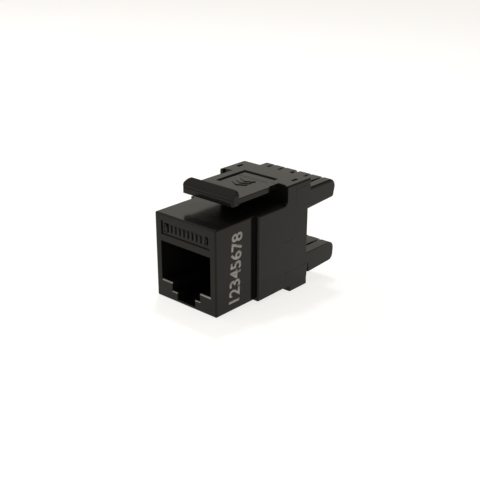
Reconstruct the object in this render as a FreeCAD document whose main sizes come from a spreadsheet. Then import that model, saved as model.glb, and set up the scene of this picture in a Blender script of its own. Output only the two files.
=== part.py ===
import FreeCAD, Part
import math
import os
import Sketcher

# Keystone jack: a snap-in eight-contact socket that joins a patch plug to the eight wires of a cable.
#
# The front block passes through the wall plate. A sprung latch on top and a fixed foot underneath
# hold the jack in the plate. The plug enters the port from the front and lifts eight sprung contact
# wires. A circuit board leads each one to a forked blade in the rear block, where the cable's wires
# are punched down between the fingers.
#
# X runs across the port, Y from the front face to the rear, Z up. Heights are measured from the
# underside of the front block, and every body is then lowered so that the origin is the centre of
# the port's mouth. All sizes are in millimetres.

CONTACT_COUNT = 8
TOLERANCE = 1e-4

SIZES = {
    # Front block.
    "block_width": 14.7,
    "block_depth": 9.85,
    "block_edge_radius": 0.3,
    "front_wall": 1.6,
    # Port, with the stepped notch below it for the plug's clip.
    "port_width": 12.0,
    "port_height": 7.45,
    "port_floor": 3.55,
    "sill_chamfer": 0.25,
    "plug_stop": 13.2,
    "notch_width": 6.8,
    "notch_drop": 1.65,
    "tongue_width": 4.3,
    "tongue_drop": 1.35,
    "clip_ledge": 2.0,
    "clip_pocket_end": 11.0,
    # Label recess above the port, with one raised tick for each contact.
    "label_width": 11.7,
    "label_rise": 1.35,
    "label_height": 2.55,
    "label_depth": 0.4,
    "tick_width": 0.45,
    "tick_height": 1.3,
    # Rear body of the housing.
    "shoulder_width": 0.95,
    "body_edge_radius": 0.3,
    "side_wall": 0.8,
    "side_end": 20.1,
    "floor_thickness": 0.97,
    "roof_thickness": 1.2,
    "low_wall_height": 3.0,
    "low_wall_reach": 0.6,
    "low_wall_slant": 0.45,
    "foot_drop": 1.26,
    "foot_length": 5.05,
    "foot_reach": 0.2,
    # Top plate, the riser that carries it and the wings beside the latch's root.
    "latch_gap": 2.45,
    "plate_thickness": 1.05,
    "plate_reach": 0.75,
    "plate_edge_radius": 0.35,
    "riser_setback": 1.8,
    "riser_thickness": 1.0,
    "wing_reach": 0.4,
    "wing_thickness": 0.75,
    "wing_gusset": 0.5,
    # Latch arm, from its hinge line to the lip.
    "arm_width": 12.0,
    "neck_width": 11.4,
    "neck_length": 1.8,
    "hinge_setback": 1.0,
    "hinge_clearance": 0.05,
    "lip_width": 12.2,
    "lip_front": 5.5,
    "lip_length": 1.8,
    "lip_crest": 0.2,
    "lip_rise": 1.3,
    "lip_drop": 0.15,
    "lip_nose": 1.0,
    "lip_lean": 0.12,
    "lip_brow_reach": 0.3,
    "lip_brow_rise": 0.55,
    "lip_edge_radius": 0.3,
    "lip_corner_radius": 0.7,
    # Sunken panel on the latch and its arrow.
    "panel_width": 8.0,
    "panel_front": 12.3,
    "panel_length": 7.8,
    "panel_depth": 0.25,
    "arrow_width": 2.6,
    "arrow_length": 2.0,
    "arrow_front": 13.2,
    "arrow_height": 0.15,
    # Contact wires.
    "contact_pitch": 1.016,
    "wire_diameter": 0.44,
    "lead_rise": 1.9,
    "bend_radius": 0.75,
    "bend_distance": 3.1,
    "bend_gap": 0.04,
    "beam_reach": 10.54,
    "beam_drop": 3.0,
    "beam_play": 0.13,
    # Contact carrier.
    "carrier_gap": 0.3,
    "carrier_cover": 0.2,
    "carrier_ledge": 0.55,
    "web_thickness": 0.8,
    "web_setback": 0.4,
    "groove_width": 0.6,
    "groove_depth": 0.5,
    "channel_depth": 0.2,
    "comb_thickness": 1.8,
    "comb_slot_depth": 1.55,
    "comb_bar": 0.7,
    "spacer_width": 0.7,
    # Circuit board.
    "board_thickness": 1.6,
    "board_gap": 0.55,
    "board_margin": 0.75,
    "lead_hole": 0.6,
    "pin_hole": 0.8,
    # Rear block and its two banks of fingers.
    "flank_length": 3.65,
    "tab_length": 2.8,
    "tab_height": 6.3,
    "bank_length": 9.0,
    "bank_draft": 0.45,
    "bank_top_radius": 1.5,
    "bank_edge_radius": 0.5,
    "lower_bank_thickness": 4.2,
    "lower_bank_setback": 0.45,
    "lower_bank_rake": 0.3,
    "lower_bank_radius": 1.2,
    "channel_height": 8.6,
    "upper_bank_thickness": 4.1,
    "upper_bank_rake": 0.95,
    "upper_bank_radius": 0.6,
    "slot_width": 0.5,
    "slot_mouth": 1.6,
    "slot_mouth_depth": 2.2,
    "inner_slot": 3.2,
    "outer_slot": 5.95,
    "centre_gap": 1.0,
    "snap_setback": 0.9,
    "snap_length": 1.4,
    "snap_width": 0.5,
    "snap_height": 0.6,
    "snap_place": 6.7,
    # Forked blades.
    "blade_width": 2.3,
    "blade_thickness": 0.4,
    "blade_setback": 0.3,
    "blade_cover": 2.35,
    "fork_gap": 0.3,
    "fork_depth": 4.8,
    "fork_mouth": 0.9,
    "fork_mouth_depth": 0.8,
    "pin_width": 0.5,
    "pin_length": 0.5,
    "pin_step": 1.62,
    # Gaps between pieces.
    "fit_gap": 0.05,
    "seam_gap": 0.05,
}


class Length:
    """A length with the spreadsheet expression that gives it."""

    def __init__(self, value, text):
        self.value = value
        self.text = text

    def __add__(self, other):
        return combined(self, "+", other)

    def __radd__(self, other):
        return combined(other, "+", self)

    def __sub__(self, other):
        return combined(self, "-", other)

    def __rsub__(self, other):
        return combined(other, "-", self)

    def __mul__(self, other):
        return combined(self, "*", other)

    def __rmul__(self, other):
        return combined(other, "*", self)

    def __truediv__(self, other):
        return combined(self, "/", other)

    def __neg__(self):
        return Length(-self.value, f"(-{self.text})")


def length_of(number):
    """Return a plain number as a length, and a length as it is."""
    if isinstance(number, Length):
        return number
    return Length(float(number), repr(float(number)))


def combined(left, operator, right):
    """Return the sum, difference, product or quotient of two lengths."""
    left = length_of(left)
    right = length_of(right)
    values = {
        "+": left.value + right.value,
        "-": left.value - right.value,
        "*": left.value * right.value,
        "/": left.value / right.value if right.value else 0.0,
    }
    return Length(values[operator], f"({left.text} {operator} {right.text})")


class Sizes:
    """The driving dimensions, kept in a spreadsheet and read as lengths."""

    def __init__(self, document, table):
        sheet = document.addObject("Spreadsheet::Sheet", "Sizes")
        for row, (alias, value) in enumerate(table.items(), start=1):
            sheet.set(f"A{row}", alias)
            sheet.set(f"B{row}", str(value))
            sheet.setAlias(f"B{row}", alias)
            setattr(self, alias, Length(value, f"Sizes.{alias}"))


doc = FreeCAD.newDocument("keystone_jack")
s = Sizes(doc, SIZES)
doc.recompute()

# Widths from the middle plane.
half_block = s.block_width / 2
half_body = half_block + s.shoulder_width
half_port = s.port_width / 2
half_chamber = half_body - s.side_wall
half_core = half_chamber - s.fit_gap
half_groove = s.groove_width / 2

# Heights above the underside of the front block: the port and what lies over it.
port_top = s.port_floor + s.port_height
port_axis = s.port_floor + s.port_height / 2
notch_floor = s.port_floor - s.notch_drop
tongue_floor = notch_floor - s.tongue_drop
label_bottom = port_top + s.label_rise
wire_radius = s.wire_diameter / 2
lead_height = port_top + s.lead_rise
bend_middle = lead_height - s.bend_radius
beam_height = bend_middle - s.bend_radius
beam_end_height = beam_height - s.beam_drop
carrier_top = lead_height + s.carrier_cover
web_top = carrier_top - s.groove_depth
web_underside = web_top - s.web_thickness
carrier_underside = web_underside - s.channel_depth
comb_bar_underside = web_top - s.comb_bar
comb_slot_bottom = beam_end_height - wire_radius - s.beam_play
chamber_top = carrier_top + half_groove + s.fit_gap

# Heights of the banks, of the blades and pins, and of the roof and top plate over them.
lower_bank_top = s.floor_thickness + s.lower_bank_thickness
upper_bank_bottom = lower_bank_top + s.channel_height
upper_bank_top = upper_bank_bottom + s.upper_bank_thickness
lower_blade_height = s.floor_thickness + s.lower_bank_thickness / 2
upper_blade_height = upper_bank_bottom + s.upper_bank_thickness / 2
upper_pin_height = upper_blade_height - s.pin_step
board_top = upper_pin_height + s.board_margin
roof_underside = board_top + s.fit_gap
core_bottom = s.floor_thickness + s.fit_gap
body_height = roof_underside + s.roof_thickness
plate_underside = body_height + s.latch_gap
top_height = plate_underside + s.plate_thickness
panel_floor = top_height - s.panel_depth
hinge_height = top_height - s.plate_thickness / 2
block_top = plate_underside - s.fit_gap

# Distances behind the front face.
riser_front = s.side_end - s.riser_setback
riser_back = riser_front + s.riser_thickness
wing_front = riser_front - s.wing_reach
hinge_distance = riser_front - s.hinge_setback
nose_front = s.lip_front + s.lip_lean
brow_front = nose_front + s.lip_brow_reach
lip_back = s.lip_front + s.lip_length
crest_front = lip_back - s.lip_crest
neck_front = hinge_distance - s.neck_length
carrier_front = s.front_wall + s.carrier_gap
web_front = s.bend_distance - s.web_setback
comb_back = s.plug_stop + s.comb_thickness
board_front = comb_back + s.board_gap
board_back = board_front + s.board_thickness
core_front = board_back + s.fit_gap
beam_pivot = s.bend_distance + wire_radius + s.bend_gap
beam_length = Length(
    math.hypot(s.beam_reach.value, s.beam_drop.value), f"hypot({s.beam_reach.text}; {s.beam_drop.text})",
)
beam_slope = Length(
    math.degrees(math.atan2(s.beam_drop.value, s.beam_reach.value)),
    f"atan({s.beam_drop.text} / {s.beam_reach.text})",
)
tab_front = s.side_end - s.tab_length
block_rear = s.side_end + s.flank_length
low_wall_end = block_rear + s.low_wall_reach
plate_end = block_rear + s.plate_reach
foot_end = block_rear + s.foot_reach
foot_front = foot_end - s.foot_length
panel_back = s.panel_front + s.panel_length
bank_end = block_rear + s.bank_length
lower_bank_end = bank_end - s.lower_bank_setback
blade_front = riser_back + s.blade_setback
blade_end = bank_end - s.blade_cover
fork_root = blade_end - s.fork_depth
snap_front = s.side_end + s.snap_setback

first_contact = -s.contact_pitch * (CONTACT_COUNT - 1) / 2
contact_places = [first_contact + s.contact_pitch * index for index in range(CONTACT_COUNT)]
slot_places = [-s.outer_slot, -s.inner_slot, s.inner_slot, s.outer_slot]

# For each axis: the origin plane square to it, and which way along the axis the plane's normal points.
PLANES = {"X": ("YZ_Plane", 1), "Y": ("XZ_Plane", -1), "Z": ("XY_Plane", 1)}


def bind(feature, name, length):
    """Drive one property of a feature from the sheet."""
    feature.setExpression(name, length_of(length).text)


def origin_part(body, role):
    """Return the plane or axis of a body's origin that has a role."""
    return next(part for part in body.Origin.OriginFeatures if part.Role == role)


def new_body(label):
    """Start a sub-part, lowered so that the origin is the centre of the port's mouth."""
    body = doc.addObject("PartDesign::Body", label)
    body.Label = label
    bind(body, "Placement.Base.z", -port_axis)
    return body


def new_sketch(body, axis, name, place):
    """Add an empty sketch square to an axis, at a place along it."""
    plane, sign = PLANES[axis]
    sketch = body.newObject("Sketcher::SketchObject", name)
    sketch.AttachmentSupport = (origin_part(body, plane), [""])
    sketch.MapMode = "FlatFace"
    bind(sketch, ".AttachmentOffset.Base.z", length_of(place) * sign)
    return sketch


def place_point(sketch, geometry, point, across, up):
    """Fix one point of a sketch at its distances across and up from the origin."""
    for kind, distance in (("DistanceX", across), ("DistanceY", up)):
        distance = length_of(distance)
        constraint = Sketcher.Constraint(kind, -1, 1, geometry, point, distance.value)
        index = sketch.addConstraint(constraint)
        bind(sketch, f"Constraints[{index}]", distance)


def vector(across, up):
    """Return a sketch point as a vector."""
    return FreeCAD.Vector(length_of(across).value, length_of(up).value, 0)


def polygon(body, axis, name, corners, place):
    """Add a sketch of one closed outline with straight sides."""
    sketch = new_sketch(body, axis, name, place)
    following = corners[1:] + corners[:1]
    for start, end in zip(corners, following):
        sketch.addGeometry(Part.LineSegment(vector(*start), vector(*end)))
    for index, corner in enumerate(corners):
        previous = (index - 1) % len(corners)
        sketch.addConstraint(Sketcher.Constraint("Coincident", previous, 2, index, 1))
        place_point(sketch, index, 1, *corner)
    return sketch


def circle(body, axis, name, centre, diameter, place):
    """Add a sketch of one circle."""
    sketch = new_sketch(body, axis, name, place)
    radius = length_of(diameter) / 2
    sketch.addGeometry(Part.Circle(vector(*centre), FreeCAD.Vector(0, 0, 1), radius.value))
    place_point(sketch, 0, 3, *centre)
    index = sketch.addConstraint(Sketcher.Constraint("Radius", 0, radius.value))
    bind(sketch, f"Constraints[{index}]", radius)
    return sketch


def rectangle(left, right, low, high):
    """Return the corners of an upright rectangle."""
    return [(left, low), (right, low), (right, high), (left, high)]


def centred(half_width, low, high):
    """Return the corners of a rectangle about the middle plane."""
    return rectangle(-half_width, half_width, low, high)


def extrude(body, kind, axis, name, sketch, length):
    """Pad or pocket a sketch towards the positive end of an axis."""
    feature = body.newObject(f"PartDesign::{kind}", name)
    feature.Profile = sketch
    feature.Reversed = (PLANES[axis][1] < 0) == (kind == "Pad")
    bind(feature, "Length", length)
    return feature


def pad(body, axis, name, corners, start, end):
    """Add a prism with a straight-sided outline, from start to end along an axis."""
    sketch = polygon(body, axis, f"{name}_outline", corners, start)
    return extrude(body, "Pad", axis, name, sketch, end - start)


def pocket(body, axis, name, corners, start, end):
    """Cut a prism with a straight-sided outline, from start to end along an axis."""
    sketch = polygon(body, axis, f"{name}_outline", corners, start)
    return extrude(body, "Pocket", axis, name, sketch, end - start)


def edges_on(shape, places):
    """Name the edges that lie wholly at given places, such as {"X": 2, "Z": 5}."""
    names = []
    for number, edge in enumerate(shape.Edges, start=1):
        box = edge.BoundBox
        ends = {"X": (box.XMin, box.XMax), "Y": (box.YMin, box.YMax), "Z": (box.ZMin, box.ZMax)}
        gaps = [abs(end - length_of(place).value) for axis, place in places.items() for end in ends[axis]]
        if max(gaps) < TOLERANCE:
            names.append(f"Edge{number}")
    return names


def treat_edges(body, kind, name, size, *edge_lines):
    """Fillet or chamfer the edges on each of the given lines or planes."""
    doc.recompute()
    base = body.Tip
    feature = body.newObject(f"PartDesign::{kind}", name)
    names = [edge for line in edge_lines for edge in edges_on(base.Shape, line)]
    feature.Base = (base, sorted(set(names)))
    bind(feature, "Radius" if kind == "Fillet" else "Size", size)
    return feature


def repeat(body, name, originals, pitch, count):
    """Repeat features along X at an even pitch."""
    pattern = body.newObject("PartDesign::LinearPattern", name)
    pattern.Originals = originals
    pattern.Direction = (origin_part(body, "X_Axis"), [""])
    pattern.Occurrences = count
    bind(pattern, "Length", pitch * (count - 1))
    body.Tip = pattern
    return pattern


def mirror(body, name, originals):
    """Mirror features in the middle plane."""
    mirrored = body.newObject("PartDesign::Mirrored", name)
    mirrored.Originals = originals
    mirrored.MirrorPlane = (origin_part(body, "YZ_Plane"), [""])
    body.Tip = mirrored
    return mirrored


def build_front_housing():
    """Build the moulded shell: front block, side walls, foot, top plate and the latch's root."""
    body = new_body("front_housing")
    pad(body, "Y", "port_block", centred(half_block, 0, body_height), 0, s.block_depth)
    treat_edges(
        body, "Fillet", "port_block_edges", s.block_edge_radius,
        {"X": half_block, "Z": body_height}, {"X": -half_block, "Z": body_height},
        {"X": half_block, "Z": 0}, {"X": -half_block, "Z": 0},
        {"Y": 0, "Z": body_height}, {"Y": 0, "Z": 0},
        {"Y": 0, "X": half_block}, {"Y": 0, "X": -half_block},
    )
    pad(body, "Y", "rear_body", centred(half_body, 0, body_height), s.block_depth, s.side_end)
    low_end = [
        (foot_front, 0), (foot_front, -s.foot_drop), (foot_end, -s.foot_drop),
        (low_wall_end - s.low_wall_slant, 0), (low_wall_end, s.low_wall_height),
        (foot_front, s.low_wall_height),
    ]
    pad(body, "X", "low_end", low_end, -half_body, half_body)
    top_end = [
        (riser_front, body_height / 2), (riser_front, top_height), (plate_end, top_height),
        (plate_end, plate_underside), (s.side_end, plate_underside), (s.side_end, body_height / 2),
    ]
    pad(body, "X", "top_end", top_end, -half_body, half_body)
    wing = [
        (wing_front - s.wing_gusset, body_height / 2), (wing_front - s.wing_gusset, body_height),
        (wing_front, body_height + s.wing_gusset), (wing_front, top_height),
        (s.side_end, top_height), (s.side_end, body_height / 2),
    ]
    wing_pad = pad(body, "X", "wing", wing, half_body - s.wing_thickness, half_body)
    mirror(body, "wings", [wing_pad])
    treat_edges(
        body, "Fillet", "rear_body_edges", s.body_edge_radius,
        {"X": half_body, "Z": body_height}, {"X": -half_body, "Z": body_height},
        {"X": half_body, "Y": s.block_depth}, {"X": -half_body, "Y": s.block_depth},
    )
    treat_edges(
        body, "Fillet", "plate_edges", s.plate_edge_radius,
        {"X": half_body, "Z": top_height}, {"X": -half_body, "Z": top_height},
    )
    root = rectangle(hinge_distance, riser_front, plate_underside, top_height)
    pad(body, "X", "latch_root", root, -s.neck_width / 2, s.neck_width / 2)
    socket = circle(
        body, "X", "latch_socket_outline", (hinge_distance, hinge_height),
        s.plate_thickness + s.hinge_clearance * 2, -half_body,
    )
    extrude(body, "Pocket", "X", "latch_socket", socket, half_body * 2)
    panel = centred(s.panel_width / 2, hinge_distance, panel_back)
    pocket(body, "Z", "panel", panel, panel_floor, top_height + s.panel_depth)
    hollow_front_block(body)
    hollow_rear_body(body)
    add_label(body)
    return body


def hollow_front_block(body):
    """Cut the port, its notch and clip pocket, and the chamber for the contact carrier."""
    pocket(body, "Y", "port", centred(half_port, s.port_floor, port_top), 0, s.plug_stop)
    treat_edges(body, "Chamfer", "port_sill", s.sill_chamfer, {"Y": 0, "Z": s.port_floor})
    notch = centred(s.notch_width / 2, notch_floor, s.port_floor + s.notch_drop)
    pocket(body, "Y", "notch", notch, 0, s.clip_pocket_end)
    tongue = centred(s.tongue_width / 2, tongue_floor, s.port_floor)
    pocket(body, "Y", "tongue_slot", tongue, 0, s.clip_ledge + s.fit_gap)
    clip = centred(s.notch_width / 2, tongue_floor, s.port_floor)
    pocket(body, "Y", "clip_pocket", clip, s.clip_ledge, s.clip_pocket_end)
    above = centred(half_port, s.port_floor, chamber_top)
    pocket(body, "Y", "contact_space", above, s.front_wall, s.plug_stop)
    ledges = centred(half_port + s.carrier_ledge, carrier_underside - s.fit_gap, chamber_top)
    pocket(body, "Y", "carrier_ledges", ledges, s.front_wall, s.plug_stop)


def hollow_rear_body(body):
    """Cut the chambers for the board and the rear block, the tab notches and the snap slots."""
    low = centred(half_chamber, s.floor_thickness, roof_underside)
    pocket(body, "Y", "board_chamber", low, s.plug_stop - s.fit_gap, bank_end)
    high = centred(half_chamber, s.floor_thickness, plate_underside)
    pocket(body, "Y", "rear_chamber", high, riser_back, bank_end)
    notch = rectangle(tab_front, bank_end, s.low_wall_height, s.low_wall_height + s.tab_height)
    pocket(body, "X", "tab_notches", notch, -half_body - s.side_wall, half_body + s.side_wall)
    slot_outline = rectangle(
        s.snap_place - s.snap_width / 2 - s.seam_gap, s.snap_place + s.snap_width / 2 + s.seam_gap,
        snap_front - s.seam_gap, snap_front + s.snap_length + s.seam_gap,
    )
    slot = pocket(body, "Z", "snap_slot", slot_outline, plate_underside, top_height)
    mirror(body, "snap_slots", [slot])


def add_label(body):
    """Cut the label recess above the port and raise one tick in it for each contact."""
    recess = centred(s.label_width / 2, label_bottom, label_bottom + s.label_height)
    pocket(body, "Y", "label_recess", recess, 0, s.label_depth)
    tick_bottom = label_bottom + (s.label_height - s.tick_height) / 2
    tick_outline = rectangle(
        first_contact - s.tick_width / 2, first_contact + s.tick_width / 2,
        tick_bottom, tick_bottom + s.tick_height,
    )
    tick = pad(body, "Y", "tick", tick_outline, s.fit_gap, s.label_depth)
    repeat(body, "ticks", [tick], s.contact_pitch, CONTACT_COUNT)


def build_latch_arm():
    """Build the sprung arm: neck, plate, sunken panel with an arrow, and the lip that catches the plate."""
    body = new_body("latch_arm")
    half_arm = s.arm_width / 2
    nose_height = plate_underside + s.lip_nose
    brow_height = nose_height + s.lip_brow_rise
    crest_height = top_height + s.lip_rise
    lip_underside = plate_underside - s.lip_drop
    lip = [
        (s.lip_front, lip_underside), (lip_back - s.lip_drop, lip_underside),
        (lip_back, plate_underside), (lip_back, crest_height), (crest_front, crest_height),
        (brow_front, brow_height), (nose_front, nose_height),
    ]
    half_lip = s.lip_width / 2
    pad(body, "X", "lip", lip, -half_lip, half_lip)
    treat_edges(
        body, "Fillet", "lip_edges", s.lip_edge_radius,
        {"Y": nose_front, "Z": nose_height}, {"Y": brow_front, "Z": brow_height},
    )
    treat_edges(
        body, "Fillet", "lip_corners", s.lip_corner_radius,
        {"X": half_lip, "Z": crest_height}, {"X": -half_lip, "Z": crest_height},
    )
    arm = rectangle(lip_back - s.lip_drop, neck_front, plate_underside, top_height)
    pad(body, "X", "arm", arm, -half_arm, half_arm)
    neck = rectangle(neck_front, hinge_distance, plate_underside, top_height)
    pad(body, "X", "neck", neck, -s.neck_width / 2, s.neck_width / 2)
    knuckle = circle(
        body, "X", "knuckle_outline", (hinge_distance, hinge_height), s.plate_thickness, -s.neck_width / 2,
    )
    extrude(body, "Pad", "X", "knuckle", knuckle, s.neck_width)
    panel = centred(s.panel_width / 2, s.panel_front, riser_front)
    pocket(body, "Z", "panel", panel, panel_floor, top_height)
    arrow_back = s.arrow_front + s.arrow_length
    arrow = [(-s.arrow_width / 2, arrow_back), (0, s.arrow_front), (s.arrow_width / 2, arrow_back)]
    pad(body, "Z", "arrow", arrow, panel_floor - s.panel_depth, panel_floor + s.arrow_height)
    return body


def build_contact_carrier():
    """Build the insert that guides the contact wires: a grooved plate over the port and a comb behind it."""
    body = new_body("contact_carrier")
    half_plate = half_port + s.carrier_ledge - s.fit_gap
    plate = centred(half_plate, carrier_underside, carrier_top)
    pad(body, "Y", "plate", plate, carrier_front, s.plug_stop + s.fit_gap)
    comb = centred(half_core, core_bottom, carrier_top)
    pad(body, "Y", "comb", comb, s.plug_stop, comb_back)
    spacer = rectangle(half_core - s.spacer_width, half_core, core_bottom, carrier_top)
    spacer_pad = pad(body, "Y", "spacer", spacer, comb_back, board_front - s.fit_gap)
    mirror(body, "spacers", [spacer_pad])
    half_channel = s.groove_width - first_contact
    channel = centred(half_channel, carrier_underside - s.fit_gap, web_underside)
    pocket(body, "Y", "channel", channel, web_front, s.plug_stop)
    groove_outline = [
        (carrier_front - half_groove, carrier_underside - half_groove),
        (carrier_front - half_groove, carrier_top + half_groove),
        (comb_back + half_groove, carrier_top + half_groove),
        (comb_back + half_groove, web_top),
        (web_front + wire_radius, web_top),
        (web_front, web_top - wire_radius),
        (web_front, web_underside + wire_radius),
        (web_front + wire_radius, web_underside),
        (beam_pivot, web_underside),
        (beam_pivot, carrier_underside - half_groove),
    ]
    groove_left = first_contact - half_groove
    groove_right = first_contact + half_groove
    groove = pocket(body, "X", "groove", groove_outline, groove_left, groove_right)
    slot_outline = rectangle(
        s.plug_stop - half_groove, s.plug_stop + s.comb_slot_depth, comb_slot_bottom, comb_bar_underside,
    )
    slot = pocket(body, "X", "slot", slot_outline, groove_left, groove_right)
    repeat(body, "guides", [groove, slot], s.contact_pitch, CONTACT_COUNT)
    return body


def build_circuit_board():
    """Build the board between the contact wires and the blades, with a plated hole for each."""
    body = new_body("circuit_board")
    pad(body, "Y", "board", centred(half_core, core_bottom, board_top), board_front, board_back)
    lead_hole = circle(
        body, "Y", "lead_hole_outline", (first_contact, lead_height), s.lead_hole, board_front,
    )
    hole = extrude(body, "Pocket", "Y", "lead_hole", lead_hole, s.board_thickness)
    repeat(body, "lead_holes", [hole], s.contact_pitch, CONTACT_COUNT)
    pin_holes = []
    for height_name, height in (("upper", upper_pin_height), ("lower", lower_blade_height)):
        for place_name, place in (("inner", s.inner_slot), ("outer", s.outer_slot)):
            name = f"{height_name}_{place_name}_pin_hole"
            outline = circle(body, "Y", f"{name}_outline", (place, height), s.pin_hole, board_front)
            pin_holes.append(extrude(body, "Pocket", "Y", name, outline, s.board_thickness))
    mirror(body, "pin_holes", pin_holes)
    return body


def build_rear_block():
    """Build the block that closes the housing and carries the two banks of wire fingers."""
    body = new_body("rear_block")
    core = [
        (core_front, core_bottom), (block_rear, core_bottom), (block_rear, block_top),
        (riser_back + s.seam_gap, block_top), (riser_back + s.seam_gap, board_top), (core_front, board_top),
    ]
    pad(body, "X", "core", core, -half_core, half_core)
    flank_bottom = s.low_wall_height + s.seam_gap
    tab_top = s.low_wall_height + s.tab_height - s.seam_gap
    flanks = [
        (tab_front + s.seam_gap, flank_bottom), (block_rear, flank_bottom), (block_rear, block_top),
        (s.side_end + s.seam_gap, block_top), (s.side_end + s.seam_gap, tab_top),
        (tab_front + s.seam_gap, tab_top),
    ]
    pad(body, "X", "flanks", flanks, -half_body, half_body)
    root = block_rear - s.seam_gap
    upper_tip_bottom = upper_bank_bottom + s.bank_draft
    upper_bank = [
        (root, upper_bank_bottom), (bank_end - s.upper_bank_rake, upper_tip_bottom),
        (bank_end, upper_bank_top), (root, upper_bank_top),
    ]
    pad(body, "X", "upper_bank", upper_bank, -half_body, half_body)
    pad(body, "Y", "bank_head", centred(half_body, upper_tip_bottom, block_top), root, plate_end)
    step = low_wall_end + s.seam_gap
    pad(body, "Y", "lower_bank_root", centred(half_core, core_bottom, lower_bank_top), root, step)
    lower_bank_shoulder = centred(half_body, flank_bottom, lower_bank_top)
    pad(body, "Y", "lower_bank_shoulder", lower_bank_shoulder, root, step)
    lower_tip_bottom = s.floor_thickness + s.bank_draft
    lower_bank = [
        (step, s.floor_thickness), (lower_bank_end - s.lower_bank_rake, lower_tip_bottom),
        (lower_bank_end, lower_bank_top), (step, lower_bank_top),
    ]
    pad(body, "X", "lower_bank", lower_bank, -half_body, half_body)
    treat_edges(
        body, "Fillet", "bank_top_tips", s.bank_top_radius,
        {"Y": bank_end, "Z": upper_bank_top}, {"Y": lower_bank_end, "Z": lower_bank_top},
    )
    treat_edges(
        body, "Fillet", "upper_bank_tips", s.upper_bank_radius,
        {"Y": bank_end - s.upper_bank_rake, "Z": upper_tip_bottom},
    )
    treat_edges(
        body, "Fillet", "lower_bank_tips", s.lower_bank_radius,
        {"Y": lower_bank_end - s.lower_bank_rake, "Z": lower_tip_bottom},
    )
    treat_edges(
        body, "Fillet", "bank_edges", s.bank_edge_radius,
        {"X": half_body, "Z": upper_bank_top}, {"X": -half_body, "Z": upper_bank_top},
    )
    nub_outline = rectangle(
        s.snap_place - s.snap_width / 2, s.snap_place + s.snap_width / 2,
        snap_front, snap_front + s.snap_length,
    )
    nub = pad(body, "Z", "snap_nub", nub_outline, block_top - s.snap_height, block_top + s.snap_height)
    mirror(body, "snap_nubs", [nub])
    cut_wire_slots(body)
    cut_blade_pockets(body)
    return body


def cut_wire_slots(body):
    """Cut the funnel-mouthed wire slots and the centre gap that part the fingers of both banks."""
    mouth_front = bank_end - s.slot_mouth_depth
    beyond = bank_end + s.slot_mouth_depth
    slots = []
    for name, place, width, mouth in (
        ("inner_slot", s.inner_slot, s.slot_width, s.slot_mouth),
        ("outer_slot", s.outer_slot, s.slot_width, s.slot_mouth),
        ("centre_slot", 0, s.centre_gap, s.centre_gap + s.slot_mouth - s.slot_width),
    ):
        outline = [
            (place - width / 2, plate_end), (place + width / 2, plate_end),
            (place + width / 2, mouth_front), (place + mouth / 2, bank_end),
            (place + mouth / 2, beyond), (place - mouth / 2, beyond),
            (place - mouth / 2, bank_end), (place - width / 2, mouth_front),
        ]
        slots.append(pocket(body, "Z", name, outline, 0, top_height))
    mirror(body, "wire_slots", slots[:2])


def cut_blade_pockets(body):
    """Cut the pockets that hold the forked blades, open to the board in front."""
    half_pocket = s.blade_thickness / 2 + s.fit_gap
    pockets = []
    for bank, blade_height, pin_height in (
        ("upper", upper_blade_height, upper_pin_height),
        ("lower", lower_blade_height, lower_blade_height),
    ):
        for column, place in (("inner", s.inner_slot), ("outer", s.outer_slot)):
            left = place - s.blade_width / 2 - s.fit_gap
            right = place + s.blade_width / 2 + s.fit_gap
            blade = rectangle(left, right, blade_height - half_pocket, blade_height + half_pocket)
            name = f"{bank}_{column}"
            front = core_front - s.seam_gap
            pockets.append(pocket(body, "Y", f"{name}_blade", blade, front, blade_end + s.fit_gap))
            if pin_height.value < blade_height.value:
                riser = rectangle(left, right, pin_height - half_pocket, blade_height - half_pocket)
                riser_end = blade_front + s.blade_thickness + s.fit_gap
                pockets.append(pocket(body, "Y", f"{name}_riser", riser, front, riser_end))
    mirror(body, "blade_pockets", pockets)


def build_blade(label, place, blade_height, pin_height):
    """Build one forked blade: the fork that grips a wire, a short riser and the pin into the board."""
    body = new_body(label)
    half_blade = s.blade_width / 2
    half_thickness = s.blade_thickness / 2
    throat = blade_end - s.fork_mouth_depth
    fork = [
        (place - half_blade, blade_front), (place + half_blade, blade_front),
        (place + half_blade, blade_end), (place + s.fork_mouth / 2, blade_end),
        (place + s.fork_gap / 2, throat), (place + s.fork_gap / 2, fork_root),
        (place - s.fork_gap / 2, fork_root), (place - s.fork_gap / 2, throat),
        (place - s.fork_mouth / 2, blade_end), (place - half_blade, blade_end),
    ]
    pad(body, "Z", "fork", fork, blade_height - half_thickness, blade_height + half_thickness)
    riser = rectangle(
        place - s.pin_width, place + s.pin_width, pin_height - half_thickness, blade_height + half_thickness,
    )
    pad(body, "Y", "riser", riser, blade_front, blade_front + s.blade_thickness)
    pin = rectangle(
        place - s.pin_width / 2, place + s.pin_width / 2,
        pin_height - half_thickness, pin_height + half_thickness,
    )
    pad(body, "Y", "pin", pin, board_front - s.pin_length, blade_front + s.blade_thickness)
    return body


def build_lead(label, place):
    """Build the fixed part of a contact wire: from the board, along its groove and round the nose."""
    body = new_body(label)
    path = new_sketch(body, "X", "lead_path", place)
    bend_start = vector(s.bend_distance, lead_height)
    bend_nose = vector(s.bend_distance - s.bend_radius, bend_middle)
    bend_end = vector(s.bend_distance, beam_height)
    path.addGeometry(Part.LineSegment(vector(board_back, lead_height), bend_start))
    path.addGeometry(Part.Arc(bend_start, bend_nose, bend_end))
    path.addConstraint(Sketcher.Constraint("Coincident", 0, 2, 1, 1))
    place_point(path, 0, 1, board_back, lead_height)
    place_point(path, 0, 2, s.bend_distance, lead_height)
    place_point(path, 1, 3, s.bend_distance, bend_middle)
    path.addConstraint(Sketcher.Constraint("Vertical", 1, 3, 1, 2))
    section = circle(body, "Y", "lead_section", (place, lead_height), s.wire_diameter, board_back)
    sweep(body, "lead", section, path)
    return body


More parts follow.
